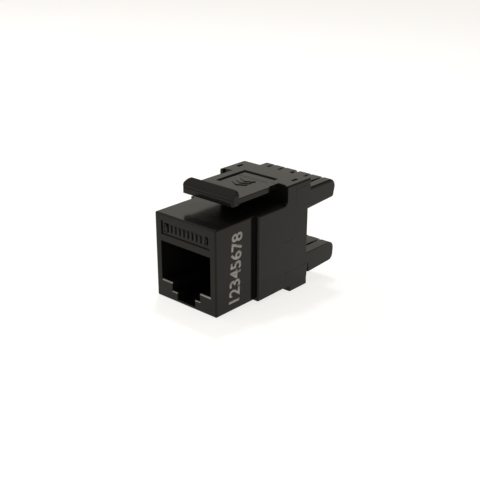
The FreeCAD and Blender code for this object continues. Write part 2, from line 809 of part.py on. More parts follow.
def build_beam(label, place):
    """Build the sprung part of a contact wire, turned about its own line from a rounded end at the bend."""
    body = new_body(label)
    profile = new_sketch(body, "X", "beam_profile", place)
    bind(profile, ".AttachmentOffset.Base.x", beam_pivot)
    bind(profile, ".AttachmentOffset.Base.y", beam_height)
    bind(profile, ".AttachmentOffset.Rotation.Angle", -beam_slope)
    round_end = Part.Circle(vector(0, 0), FreeCAD.Vector(0, 0, 1), wire_radius.value)
    root = vector(-wire_radius, 0)
    foot = vector(beam_length, 0)
    tip = vector(beam_length, wire_radius)
    shoulder = vector(0, wire_radius)
    profile.addGeometry(Part.ArcOfCircle(round_end, math.pi / 2, math.pi))
    profile.addGeometry(Part.LineSegment(root, foot))
    profile.addGeometry(Part.LineSegment(foot, tip))
    profile.addGeometry(Part.LineSegment(tip, shoulder))
    for geometry in range(4):
        profile.addConstraint(Sketcher.Constraint("Coincident", geometry, 2, (geometry + 1) % 4, 1))
    profile.addConstraint(Sketcher.Constraint("Horizontal", 1))
    place_point(profile, 0, 3, 0, 0)
    place_point(profile, 0, 1, 0, wire_radius)
    place_point(profile, 1, 2, beam_length, 0)
    place_point(profile, 2, 2, beam_length, wire_radius)
    beam = body.newObject("PartDesign::Revolution", "beam")
    beam.Profile = profile
    beam.ReferenceAxis = (profile, ["H_Axis"])
    return body


def sweep(body, name, section, path):
    """Sweep a section along a path."""
    doc.recompute()
    pipe = body.newObject("PartDesign::AdditivePipe", name)
    pipe.Profile = section
    pipe.Spine = (path, [f"Edge{number}" for number in range(1, len(path.Shape.Edges) + 1)])
    return pipe


def build_all():
    """Build every sub-part and return their bodies."""
    bodies = [
        build_front_housing(),
        build_latch_arm(),
        build_contact_carrier(),
        build_circuit_board(),
        build_rear_block(),
    ]
    for number, place in enumerate(contact_places, start=1):
        bodies.append(build_lead(f"contact_lead_{number}", place))
        bodies.append(build_beam(f"contact_beam_{number}", place))
    for number, place in enumerate(slot_places, start=1):
        upper = build_blade(f"upper_blade_{number}", place, upper_blade_height, upper_pin_height)
        lower = build_blade(f"lower_blade_{number}", place, lower_blade_height, lower_blade_height)
        bodies.extend([upper, lower])
    doc.recompute()
    return bodies


def check_document():
    """Stop if a feature failed or a pocket removed nothing."""
    for feature in doc.Objects:
        if "Invalid" in feature.State or "Error" in feature.State:
            raise RuntimeError(f"{feature.Name} ({feature.Label}) failed: {feature.State}")
        if feature.TypeId == "PartDesign::Pocket":
            removed = feature.BaseFeature.Shape.Volume - feature.Shape.Volume
            if removed <= 0:
                raise RuntimeError(f"{feature.Name} cuts nothing")


def check_body(body):
    """Stop if a sub-part isn't one valid solid."""
    shape = body.Shape
    if shape.isNull() or not shape.isValid() or len(shape.Solids) != 1:
        raise RuntimeError(f"{body.Label} isn't one valid solid")


def main():
    """Build, check and write the sub-parts."""
    bodies = build_all()
    check_document()
    os.makedirs("parts", exist_ok=True)
    for body in bodies:
        check_body(body)
    for body in bodies:
        body.Shape.exportStep(f"parts/{body.Label}.step")


main()
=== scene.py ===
"""Looks of a keystone jack: a snap-in eight-contact socket in glossy black plastic.

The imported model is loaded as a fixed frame. Its hard pieces stay where they are and get their
finishes. The moulded shells are rebuilt from their own solids with softened edges, and the latch,
the contact wires and the printed digits are modelled here. Lengths in the dataclasses are in
millimetres, in the frame whose origin is the centre of the port's mouth: X runs across the port,
Y from the front face to the rear and Z up.
"""

import logging
import math
from collections import defaultdict
from dataclasses import dataclass, field
from enum import Enum
from typing import Any, Callable, Iterable, Sequence

import bmesh
import bpy
from mathutils import Matrix, Vector

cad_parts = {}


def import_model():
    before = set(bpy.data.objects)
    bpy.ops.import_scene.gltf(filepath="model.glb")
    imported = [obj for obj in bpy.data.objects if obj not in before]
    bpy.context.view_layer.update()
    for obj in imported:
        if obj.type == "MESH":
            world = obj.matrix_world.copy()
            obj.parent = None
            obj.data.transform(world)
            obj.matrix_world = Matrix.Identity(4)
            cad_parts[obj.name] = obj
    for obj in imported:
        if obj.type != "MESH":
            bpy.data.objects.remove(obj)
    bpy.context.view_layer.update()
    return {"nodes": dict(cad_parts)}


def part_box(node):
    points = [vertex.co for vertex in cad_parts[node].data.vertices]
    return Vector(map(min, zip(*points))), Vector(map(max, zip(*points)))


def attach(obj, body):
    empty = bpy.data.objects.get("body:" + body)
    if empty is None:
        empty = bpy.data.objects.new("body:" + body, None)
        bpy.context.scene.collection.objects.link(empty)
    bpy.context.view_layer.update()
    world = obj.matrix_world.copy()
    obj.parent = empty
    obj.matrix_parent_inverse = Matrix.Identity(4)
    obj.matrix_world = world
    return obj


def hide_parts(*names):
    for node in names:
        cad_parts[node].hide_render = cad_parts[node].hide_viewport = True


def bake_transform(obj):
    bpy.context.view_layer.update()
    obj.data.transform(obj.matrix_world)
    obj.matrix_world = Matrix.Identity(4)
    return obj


LOG = logging.getLogger("keystone_jack")
MM = 0.001
CONTACT_COUNT = 8
FOOT_DROP = 1.26
SAME_POINT = 1e-4
SAME_PLACE = 0.01
FLAT_JOIN = math.radians(0.3)
SHARP_CORNER = 35.0

Colour = tuple[float, float, float, float]
Point = tuple[float, float, float]


class Slot(Enum):
    """The record's material slots."""

    SHELL = "shell_black"
    INSERT = "insert_black"
    BOARD = "board_green"
    CONTACT = "contact_gold"
    BLADE = "blade_tin"


class Body(Enum):
    """The bodies that pieces ride on, apart from the contacts."""

    HOUSING = "housing"
    LATCH = "latch"


class Join(Enum):
    """How one closed shape is combined with another."""

    ADD = "UNION"
    CUT = "DIFFERENCE"
    KEEP = "INTERSECT"


# Materials


class Finish:
    """A material's node tree, built one node at a time around a Principled shader."""

    def __init__(self, name: str) -> None:
        """Start an empty material.

        Args:
            name: The material's name.
        """
        self.material = bpy.data.materials.new(name)
        self.material.use_nodes = True
        self.tree = self.material.node_tree
        self.tree.nodes.clear()
        self.shader = self.add("ShaderNodeBsdfPrincipled")
        output = self.add("ShaderNodeOutputMaterial")
        self.link(self.shader, "BSDF", output, "Surface")
        self.place = self.add("ShaderNodeTexCoord")

    def add(self, kind: str, inputs: dict[str, Any] | None = None, **settings: Any) -> bpy.types.Node:
        """Add one node.

        Args:
            kind: The node's type name.
            inputs: Values for its sockets, by socket name.
            **settings: Values for its own properties.

        Returns:
            The new node.
        """
        node = self.tree.nodes.new(kind)
        for name, value in settings.items():
            setattr(node, name, value)
        for name, value in (inputs or {}).items():
            node.inputs[name].default_value = value
        return node

    def link(self, source: bpy.types.Node, output: str, target: bpy.types.Node, name: str) -> None:
        """Join a node's output to another node's input.

        Args:
            source: The node that gives the value.
            output: The name of its output.
            target: The node that takes the value.
            name: The name of its input.
        """
        self.tree.links.new(source.outputs[output], target.inputs[name])

    def set(self, **values: Any) -> None:
        """Set sockets of the shader itself, written with underscores for spaces."""
        for name, value in values.items():
            self.shader.inputs[name.replace("_", " ")].default_value = value

    def noise(
        self, cell: float, detail: float = 2.0, stretch: Point = (1.0, 1.0, 1.0)
    ) -> bpy.types.Node:
        """Add a noise texture on the piece's own place.

        Args:
            cell: The size of one cell, in millimetres.
            detail: The number of finer layers.
            stretch: How many times as fine the pattern is along each axis.

        Returns:
            The noise node.
        """
        mapping = self.add("ShaderNodeMapping", {"Scale": stretch})
        self.link(self.place, "Object", mapping, "Vector")
        texture = self.add("ShaderNodeTexNoise", {"Scale": 1.0 / (cell * MM), "Detail": detail})
        self.link(mapping, "Vector", texture, "Vector")
        return texture

    def ramp(self, source: bpy.types.Node, output: str, low: float, high: float) -> bpy.types.Node:
        """Add a map range that turns a value from 0..1 into low..high.

        Args:
            source: The node that gives the value.
            output: The name of its output.
            low: The result at 0.
            high: The result at 1.

        Returns:
            The map range node.
        """
        node = self.add("ShaderNodeMapRange", {"To Min": low, "To Max": high})
        self.link(source, output, node, "Value")
        return node

    def tint(self, source: bpy.types.Node, output: str, low: Colour, high: Colour) -> bpy.types.Node:
        """Add a mix of two colours, steered by a value.

        Args:
            source: The node that gives the value.
            output: The name of its output.
            low: The colour at 0.
            high: The colour at 1.

        Returns:
            The mix node, whose result is its output number 2.
        """
        node = self.add("ShaderNodeMix", data_type="RGBA")
        self.tree.links.new(source.outputs[output], node.inputs[0])
        node.inputs[6].default_value = low
        node.inputs[7].default_value = high
        return node

    def bump(
        self, texture: bpy.types.Node, output: str, height: float, below: bpy.types.Node | None = None
    ) -> bpy.types.Node:
        """Add a bump layer.

        Args:
            texture: The node that gives the height.
            output: The name of its output.
            height: The depth of the relief, in millimetres.
            below: The node whose normal this layer lies on.

        Returns:
            The bump node.
        """
        node = self.add("ShaderNodeBump", {"Strength": 1.0, "Distance": height * MM})
        self.link(texture, output, node, "Height")
        if below:
            self.link(below, "Normal", node, "Normal")
        return node


@dataclass(frozen=True)
class MouldedPlastic:
    """Injection-moulded plastic: smooth, with faint flow marks and slightly worn edges. The sills' pale
    finish built from it is a painted glint.
    """

    name: str
    colour: Colour
    worn: Colour
    roughness: float = 0.14
    ior: float = 1.265
    warmth: Colour = (1.0, 0.94, 0.82, 1.0)
    grain_cell: float = 0.12
    grain_depth: float = 0.0006
    flow_cell: float = 5.0
    flow_depth: float = 0.8
    gloss_spread: float = 0.05
    edge_radius: float = 0.07
    wear_start: float = 0.98
    wear_full: float = 0.75

    def material(self) -> bpy.types.Material:
        """Build the material."""
        finish = Finish(self.name)
        finish.set(IOR=self.ior, Specular_Tint=self.warmth)
        flow = finish.noise(self.flow_cell, 3.0, (1.0, 1.0, 0.45))
        grain = finish.noise(self.grain_cell, 3.0)
        edges = finish.add("ShaderNodeBevel", {"Radius": self.edge_radius * MM}, samples=6)
        geometry = finish.add("ShaderNodeNewGeometry")
        turned = finish.add("ShaderNodeVectorMath", operation="DOT_PRODUCT")
        finish.tree.links.new(edges.outputs["Normal"], turned.inputs[0])
        finish.tree.links.new(geometry.outputs["Normal"], turned.inputs[1])
        span = {"From Min": self.wear_start, "From Max": self.wear_full, "To Min": 0.0, "To Max": 1.0}
        wear = finish.add("ShaderNodeMapRange", span)
        finish.link(turned, "Value", wear, "Value")
        patchy = finish.add("ShaderNodeMath", operation="MULTIPLY")
        finish.tree.links.new(wear.outputs["Result"], patchy.inputs[0])
        finish.tree.links.new(flow.outputs["Fac"], patchy.inputs[1])
        deep = tuple(channel * self.flow_depth for channel in self.colour[:3]) + (1.0,)
        cloud = finish.tint(flow, "Fac", deep, self.colour)
        # Edges are mixed towards the worn colour: wear on the shell's edges, and part of the painted glint
        # in the sills' pale finish.
        wear_and_painted_glint = finish.add("ShaderNodeMix", data_type="RGBA")
        finish.tree.links.new(patchy.outputs["Value"], wear_and_painted_glint.inputs[0])
        finish.tree.links.new(cloud.outputs[2], wear_and_painted_glint.inputs[6])
        wear_and_painted_glint.inputs[7].default_value = self.worn
        finish.tree.links.new(wear_and_painted_glint.outputs[2], finish.shader.inputs["Base Color"])
        gloss = finish.ramp(
            flow, "Fac", self.roughness - self.gloss_spread, self.roughness + self.gloss_spread
        )
        finish.link(gloss, "Result", finish.shader, "Roughness")
        relief = finish.bump(grain, "Fac", self.grain_depth, edges)
        finish.link(relief, "Normal", finish.shader, "Normal")
        return finish.material


@dataclass(frozen=True)
class PlatedMetal:
    """Thin plating on bronze, with drawing marks along its length and a little tarnish."""

    name: str
    colour: Colour
    tarnish: Colour
    roughness: float = 0.25
    mark_cell: float = 0.05
    mark_depth: float = 0.0015
    tarnish_cell: float = 0.9

    def material(self) -> bpy.types.Material:
        """Build the material."""
        finish = Finish(self.name)
        finish.set(Metallic=1.0)
        patches = finish.noise(self.tarnish_cell, 4.0)
        marks = finish.noise(self.mark_cell, 2.0, (1.0, 0.06, 1.0))
        colour = finish.tint(patches, "Fac", self.colour, self.tarnish)
        finish.tree.links.new(colour.outputs[2], finish.shader.inputs["Base Color"])
        gloss = finish.ramp(patches, "Fac", self.roughness - 0.08, self.roughness + 0.15)
        finish.link(gloss, "Result", finish.shader, "Roughness")
        relief = finish.bump(marks, "Fac", self.mark_depth)
        finish.link(relief, "Normal", finish.shader, "Normal")
        return finish.material


@dataclass(frozen=True)
class BoardLaminate:
    """Solder-masked glass laminate: the weave shows faintly under a glossy green lacquer."""

    name: str = "Solder_masked_laminate"
    mask: Colour = (0.008, 0.09, 0.03, 1.0)
    weave: Colour = (0.02, 0.14, 0.05, 1.0)
    roughness: float = 0.22
    thread: float = 0.45
    thread_bands: float = 6.0
    lacquer_depth: float = 0.004
    dust_cell: float = 1.5

    def material(self) -> bpy.types.Material:
        """Build the material."""
        finish = Finish(self.name)
        scale = {"Scale": 1.0 / (self.thread * MM * self.thread_bands)}
        across = finish.add("ShaderNodeTexWave", scale, bands_direction="X")
        along = finish.add("ShaderNodeTexWave", scale, bands_direction="Z")
        for wave in (across, along):
            finish.link(finish.place, "Object", wave, "Vector")
        weave = finish.add("ShaderNodeMath", operation="MULTIPLY")
        finish.tree.links.new(across.outputs["Fac"], weave.inputs[0])
        finish.tree.links.new(along.outputs["Fac"], weave.inputs[1])
        colour = finish.tint(weave, "Value", self.mask, self.weave)
        finish.tree.links.new(colour.outputs[2], finish.shader.inputs["Base Color"])
        dust = finish.noise(self.dust_cell, 3.0)
        gloss = finish.ramp(dust, "Fac", self.roughness - 0.05, self.roughness + 0.12)
        finish.link(gloss, "Result", finish.shader, "Roughness")
        relief = finish.bump(weave, "Value", self.lacquer_depth)
        finish.link(relief, "Normal", finish.shader, "Normal")
        return finish.material


@dataclass(frozen=True)
class PrintInk:
    """Pad-printed ink, a little thin in places."""

    name: str = "Pale_print_ink"
    colour: Colour = (0.36, 0.35, 0.33, 1.0)
    thin: Colour = (0.2, 0.195, 0.18, 1.0)
    roughness: float = 0.55
    speckle: float = 0.22

    def material(self) -> bpy.types.Material:
        """Build the material."""
        finish = Finish(self.name)
        cover = finish.noise(self.speckle, 4.0)
        colour = finish.tint(cover, "Fac", self.thin, self.colour)
        finish.tree.links.new(colour.outputs[2], finish.shader.inputs["Base Color"])
        gloss = finish.ramp(cover, "Fac", self.roughness - 0.1, self.roughness + 0.1)
        finish.link(gloss, "Result", finish.shader, "Roughness")
        return finish.material


@dataclass(frozen=True)
class StudioPaper:
    """Seamless white backdrop paper on a light table, faintly lit from below."""

    name: str = "White_backdrop_paper"
    colour: Colour = (0.27, 0.27, 0.27, 1.0)
    lit: Colour = (1.0, 0.98, 0.95, 1.0)
    glow: float = 0.8
    fibre: float = 0.6
    fibre_depth: float = 0.98

    def material(self) -> bpy.types.Material:
        """Build the material."""
        finish = Finish(self.name)
        finish.set(Roughness=0.9, Emission_Color=self.lit, Emission_Strength=self.glow)
        fibres = finish.noise(self.fibre, 3.0)
        shade = tuple(channel * self.fibre_depth for channel in self.colour[:3]) + (1.0,)
        colour = finish.tint(fibres, "Fac", shade, self.colour)
        finish.tree.links.new(colour.outputs[2], finish.shader.inputs["Base Color"])
        return finish.material


@dataclass
class FinishBook:
    """The jack's finishes, built once and shared by its pieces."""

    materials: dict[Slot, bpy.types.Material] = field(default_factory=dict)
    # The sills' pale finish: a painted glint.
    wear_and_painted_glint: bpy.types.Material | None = None
    ink: bpy.types.Material | None = None
    paper: bpy.types.Material | None = None

    def build(self) -> None:
        """Build every finish."""
        self.materials = {
            Slot.SHELL: MouldedPlastic(
                "Glossy_black_plastic", (0.006, 0.0058, 0.0053, 1.0), (0.018, 0.0175, 0.016, 1.0)
            ).material(),
            Slot.INSERT: MouldedPlastic(
                "Matt_black_plastic", (0.007, 0.007, 0.0068, 1.0), (0.014, 0.014, 0.013, 1.0), roughness=0.55
            ).material(),
            Slot.BOARD: BoardLaminate().material(),
            Slot.CONTACT: PlatedMetal(
                "Gold_plating", (0.86, 0.6, 0.2, 1.0), (0.6, 0.38, 0.12, 1.0)
            ).material(),
            Slot.BLADE: PlatedMetal(
                "Tin_plating", (0.62, 0.62, 0.6, 1.0), (0.4, 0.4, 0.39, 1.0), roughness=0.38
            ).material(),
        }
        # The sills' pale finish: pale grey painted onto the black plastic as a painted glint where the
        # port's sills catch the light, paler still at its edges.
        self.wear_and_painted_glint = MouldedPlastic(
            "Painted_glint_black_plastic", (0.3, 0.29, 0.27, 1.0), (0.45, 0.44, 0.41, 1.0), ior=1.5
        ).material()
        self.ink = PrintInk().material()
        self.paper = StudioPaper().material()

    def dress(self, piece: bpy.types.Object, slot: Slot) -> None:
        """Give a piece the finish of one of the record's slots.

        Args:
            piece: The piece to dress.
            slot: The slot that it takes its finish from.
        """
        self.cover(piece, self.materials[slot])

    def cover(self, piece: bpy.types.Object, material: bpy.types.Material) -> None:
        """Put one material on the whole of a piece.

        Args:
            piece: The piece to cover.
            material: The material.
        """
        if piece.data.materials:
            for index in range(len(piece.data.materials)):
                piece.data.materials[index] = material
        else:
            piece.data.materials.append(material)


# Mesh work


class Shape:
    """A closed shape in millimetres, worked on with bmesh operators."""

    def __init__(self) -> None:
        """Start an empty shape."""
        self.mesh = bmesh.new()

    @classmethod
    def block(cls, low: Point, high: Point) -> "Shape":
        """Make a box.

        Args:
            low: Its lowest corner.
            high: Its highest corner.

        Returns:
            The new shape.
        """
        shape = cls()
        made = bmesh.ops.create_cube(shape.mesh, size=1.0)
        centre = (Vector(low) + Vector(high)) / 2
        spread = Vector(high) - Vector(low)
        bmesh.ops.scale(shape.mesh, vec=spread, verts=made["verts"])
        bmesh.ops.translate(shape.mesh, vec=centre, verts=made["verts"])
        return shape

    @classmethod
    def prism(cls, outline: Sequence[Point], way: Point) -> "Shape":
        """Make a prism from a flat outline.

        Args:
            outline: The corners of one end, in order.
            way: How far and which way it is drawn out.

        Returns:
            The new shape.
        """
        shape = cls()
        face = shape.mesh.faces.new([shape.mesh.verts.new(corner) for corner in outline])
        made = bmesh.ops.extrude_face_region(shape.mesh, geom=[face], use_keep_orig=True)
        moved = [part for part in made["geom"] if isinstance(part, bmesh.types.BMVert)]
        bmesh.ops.translate(shape.mesh, vec=way, verts=moved)
        bmesh.ops.recalc_face_normals(shape.mesh, faces=shape.mesh.faces)
        return shape

    @classmethod
    def of_node(cls, node: bpy.types.Object) -> "Shape":
        """Copy a CAD node's mesh, merged and with its flat faces joined.

        Args:
            node: The CAD node.

        Returns:
            The new shape.
        """
        shape = cls()
        mesh = shape.mesh
        mesh.from_mesh(node.data)
        bmesh.ops.scale(mesh, vec=(1 / MM,) * 3, verts=mesh.verts)
        bmesh.ops.remove_doubles(mesh, verts=mesh.verts, dist=SAME_POINT)
        bmesh.ops.dissolve_limit(
            mesh, angle_limit=FLAT_JOIN, use_dissolve_boundaries=False, verts=mesh.verts, edges=mesh.edges
        )
        return shape

    def combine(self, other: "Shape", how: Join) -> None:
        """Add another closed shape to this one, cut it away, or keep only their overlap.

        Args:
            other: The other shape, which is used up.
            how: Whether it is added, cut away, or keeps what the two share.
        """
        base = self.to_object("working_base", scale=1.0)
        tool = other.to_object("working_tool", scale=1.0)
        modifier = base.modifiers.new("combine", "BOOLEAN")
        modifier.operation = how.value
        modifier.solver = "EXACT"
        modifier.object = tool
        graph = bpy.context.evaluated_depsgraph_get()
        result = bpy.data.meshes.new_from_object(base.evaluated_get(graph))
        self.mesh = bmesh.new()
        self.mesh.from_mesh(result)
        bmesh.ops.dissolve_limit(
            self.mesh, angle_limit=FLAT_JOIN, verts=self.mesh.verts, edges=self.mesh.edges
        )
        for made in (base, tool):
            data = made.data
            bpy.data.objects.remove(made)
            bpy.data.meshes.remove(data)
        bpy.data.meshes.remove(result)

    def edges_where(self, test: Callable[[Vector, Vector], bool]) -> list[bmesh.types.BMEdge]:
        """Find edges by their two ends.

        Args:
            test: Says whether an edge between two points is wanted.

        Returns:
            The edges found.
        """
        return [edge for edge in self.mesh.edges if test(edge.verts[0].co, edge.verts[1].co)]

    def edges_along_x(self, place: float, height: float) -> list[bmesh.types.BMEdge]:
        """Find the edges that run across the port at one distance and height.

        Args:
            place: Their distance behind the front face.
            height: Their height.

        Returns:
            The edges found.
        """
        return self.edges_where(
            lambda a, b: all(
                abs(end.y - place) < SAME_PLACE and abs(end.z - height) < SAME_PLACE for end in (a, b)
            )
        )

    def round_edges(self, edges: Iterable[bmesh.types.BMEdge], radius: float, segments: int = 3) -> None:
        """Round some edges.

        Args:
            edges: The edges to round.
            radius: The rounding's offset.
            segments: The number of steps across it.
        """
        bmesh.ops.bevel(
            self.mesh, geom=list(edges), offset=radius, offset_type="OFFSET", segments=segments,
            profile=0.5, affect="EDGES", material=-1, clamp_overlap=False,
        )

    def slice_at(self, place: Point, normal: Point) -> None:
        """Cut every face along a plane.

        Args:
            place: A point on the plane.
            normal: The plane's normal.
        """
        mesh = self.mesh
        parts = mesh.verts[:] + mesh.edges[:] + mesh.faces[:]
        bmesh.ops.bisect_plane(mesh, geom=parts, dist=1e-5, plane_co=place, plane_no=normal)

    def to_object(self, name: str, scale: float = MM) -> bpy.types.Object:
        """Write the shape to a new object at the origin.

        Args:
            name: The object's name.
            scale: What lengths are multiplied by.

        Returns:
            The new object.
        """
        mesh = self.mesh
        bmesh.ops.scale(mesh, vec=(scale,) * 3, verts=mesh.verts)
        data = bpy.data.meshes.new(name)
        mesh.to_mesh(data)
        mesh.free()
        piece = bpy.data.objects.new(name, data)
        bpy.context.scene.collection.objects.link(piece)
        return piece


def smooth(piece: bpy.types.Object, crease: float = 40.0) -> None:
    """Shade a piece smoothly across its rounded edges and keep its flat faces flat.

    Each face's corner takes the normals of the faces that meet there and lean less than the crease
    angle away from it. The larger ones count for far more, so only the narrow strips are blended.

    Args:
        piece: The piece.
        crease: The angle in degrees above which two faces aren't blended.
    """
    data = piece.data
    data.shade_smooth()
    limit = math.cos(math.radians(crease))
    around = defaultdict(list)
    for face in data.polygons:
        for vertex in face.vertices:
            around[vertex].append((face.normal.copy(), face.area))
    normals = []
    for face in data.polygons:
        for vertex in face.vertices:
            near = [(normal, area) for normal, area in around[vertex] if normal.dot(face.normal) >= limit]
            widest = max((area for _, area in near), default=0.0)
            blend = face.normal.copy()
            if widest > 0.0:
                blend = sum((normal * (area / widest) ** 2 for normal, area in near), Vector())
            normals.append(blend.normalized())
    data.normals_split_custom_set(normals)


def finish_piece(piece: bpy.types.Object, body: str, nodes: Sequence[str] = ()) -> None:
    """Let a piece ride on a body, stand for CAD nodes, and report it.

    Args:
        piece: The piece.
        body: The name of the body it rides on.
        nodes: The CAD nodes it stands for.
    """
    if nodes:
        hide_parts(*nodes)
    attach(piece, body)
    LOG.info("%s: %d faces, rides on %s", piece.name, len(piece.data.polygons), body)


def is_corner(edge: bmesh.types.BMEdge) -> bool:
    """Say whether an edge is a sharp outer corner between two faces."""
    if len(edge.link_faces) != 2 or not edge.is_convex:
        return False
    return edge.calc_face_angle() >= math.radians(SHARP_CORNER)


# Sub-assemblies


@dataclass
class SoftShell:
    """A moulded shell rebuilt from its own solid, with its outer edges softened."""

    node: str
    name: str
    radius: float = 0.15
    shortest: float = 0.7
    kept: tuple[tuple[Point, Point], ...] = ()
    filled: tuple[tuple[Point, Point], ...] = ()
    # Boxes whose forward-leaning sills take the pale finish, a painted glint.
    wear_and_painted_glint: tuple[tuple[Point, Point], ...] = ()
    softest: tuple[tuple[Point, Point], ...] = ()
    soft_radius: float = 0.25
    sill_lean: float = 0.3

    @staticmethod
    def inside(point: Vector, regions: Iterable[tuple[Point, Point]]) -> bool:
        """Say whether a point lies in one of some boxes."""
        return any(
            all(low[axis] <= point[axis] <= high[axis] for axis in range(3)) for low, high in regions
        )

    def wants(self, edge: bmesh.types.BMEdge) -> bool:
        """Say whether an edge is an outer corner that is long enough and not in a kept region."""
        if not is_corner(edge) or edge.calc_length() < self.shortest:
            return False
        return not self.inside((edge.verts[0].co + edge.verts[1].co) / 2, self.kept)

    def is_softest(self, edge: bmesh.types.BMEdge) -> bool:
        """Say whether an edge is an outer corner, however short, in a region with a wider rounding."""
        return is_corner(edge) and self.inside((edge.verts[0].co + edge.verts[1].co) / 2, self.softest)

    def is_painted_glint(self, face: bmesh.types.BMFace) -> bool:
        """Say whether a face is a forward-leaning sill in a region whose sills get a painted glint."""
        leaning = face.normal.y < -self.sill_lean and face.normal.z > self.sill_lean
        return leaning and self.inside(face.calc_center_median(), self.wear_and_painted_glint)

    def build(self, nodes: dict[str, bpy.types.Object], book: FinishBook) -> bpy.types.Object:
        """Build and dress the shell.

        Args:
            nodes: The CAD nodes by name.
            book: The finishes.

        Returns:
            The shell.
        """
        shape = Shape.of_node(nodes[self.node])
        for low, high in self.filled:
            shape.combine(Shape.block(low, high), Join.ADD)
        if self.softest:
            soft_edges = [edge for edge in shape.mesh.edges if self.is_softest(edge)]
            shape.round_edges(soft_edges, self.soft_radius)
            shape.mesh.normal_update()
        shape.round_edges([edge for edge in shape.mesh.edges if self.wants(edge)], self.radius, 2)
        shape.mesh.normal_update()
        # Sills in those boxes take the second slot, whose pale colour is a painted glint.
        for face in shape.mesh.faces:
            face.material_index = int(self.is_painted_glint(face))
        piece = shape.to_object(self.name)
        smooth(piece)
        book.dress(piece, Slot.SHELL)
        if self.wear_and_painted_glint:
            piece.data.materials.append(book.wear_and_painted_glint)
        finish_piece(piece, Body.HOUSING.value, [self.node])
        return piece


def block_base() -> float:
    """Return the height of the front block's underside, in millimetres."""
    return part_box("front_housing")[0].z / MM + FOOT_DROP


@dataclass
class LatchLip:
    """The latch's thumb lip: an upright chin, a rounded brow and a ramp to its crest."""

    half_width: float = 6.12
    length: float = 1.8
    undercut: float = 0.05
    nose: float = 1.0
    brow_reach: float = 0.4
    brow_rise: float = 0.55
    crest: float = 0.2
    rise: float = 1.45
    drop: float = 0.15
    corner: float = 1.1
    end_radius: float = 0.7
    nose_radius: float = 0.3
    brow_radius: float = 0.3
    crest_radius: float = 0.12

    def build(self, front: float, under: float, top: float) -> Shape:
        """Make the lip.

        Args:
            front: The distance of its nose.
            under: The height of its underside.
            top: The height of the arm's top face.

        Returns:
            The lip.
        """
        crest = top + self.rise
        back = front + self.length
        nose = (front, under + self.drop + self.nose)
        brow = (nose[0] + self.brow_reach, nose[1] + self.brow_rise)
        left = -self.half_width - 1.0
        outline = [
            (left, front + self.undercut, under), (left, back - self.drop, under),
            (left, back, under + self.drop), (left, back, crest), (left, back - self.crest, crest),
            (left, *brow), (left, *nose),
        ]
        lip = Shape.prism(outline, (-2.0 * left, 0.0, 0.0))
        for place, height, radius in (
            (*nose, self.nose_radius), (*brow, self.brow_radius),
            (back - self.crest, crest, self.crest_radius), (back, crest, self.crest_radius),
        ):
            lip.round_edges(lip.edges_along_x(place, height), radius, 3)
        rim = Shape.block(
            (-self.half_width, front - 1.0, under - 0.5), (self.half_width, back + 1.0, crest)
        )
        upper = rim.edges_where(
            lambda a, b: min(a.z, b.z) > crest - SAME_PLACE and abs(a.x - b.x) < SAME_PLACE
        )
        rim.round_edges(upper, self.corner, 8)
        lip.combine(rim, Join.KEEP)
        ends = Shape.block(
            (-self.half_width, front, under - 0.5), (self.half_width, back + 1.0, crest + 1.0)
        )
        foremost = ends.edges_where(
            lambda a, b: max(a.y, b.y) < front + SAME_PLACE and abs(a.x - b.x) < SAME_PLACE
        )
        ends.round_edges(foremost, self.end_radius, 6)
        lip.combine(ends, Join.KEEP)
        return lip


@dataclass
class PanelMark:
    """Three raised chevrons in the latch's sunken panel that show which way to press."""

    count: int = 3
    half_width: float = 1.7
    front: float = 13.0
    pitch: float = 1.15
    stroke: float = 0.5
    slope: float = 0.55
    height: float = 0.15

    def build(self, floor: float, depth: float) -> list[Shape]:
        """Make the chevrons.

        Args:
            floor: The height of the panel's floor.
            depth: How far they reach down into the arm.

        Returns:
            One shape for each chevron.
        """
        shapes = []
        side = self.half_width * self.slope
        for index in range(self.count):
            tip = self.front + self.pitch * index
            corners = [
                (0.0, tip), (self.half_width, tip + side), (self.half_width, tip + side + self.stroke),
                (0.0, tip + self.stroke), (-self.half_width, tip + side + self.stroke),
                (-self.half_width, tip + side),
            ]
            outline = [(x, y, floor - depth) for x, y in corners]
            shapes.append(Shape.prism(outline, (0.0, 0.0, depth + self.height)))
        return shapes


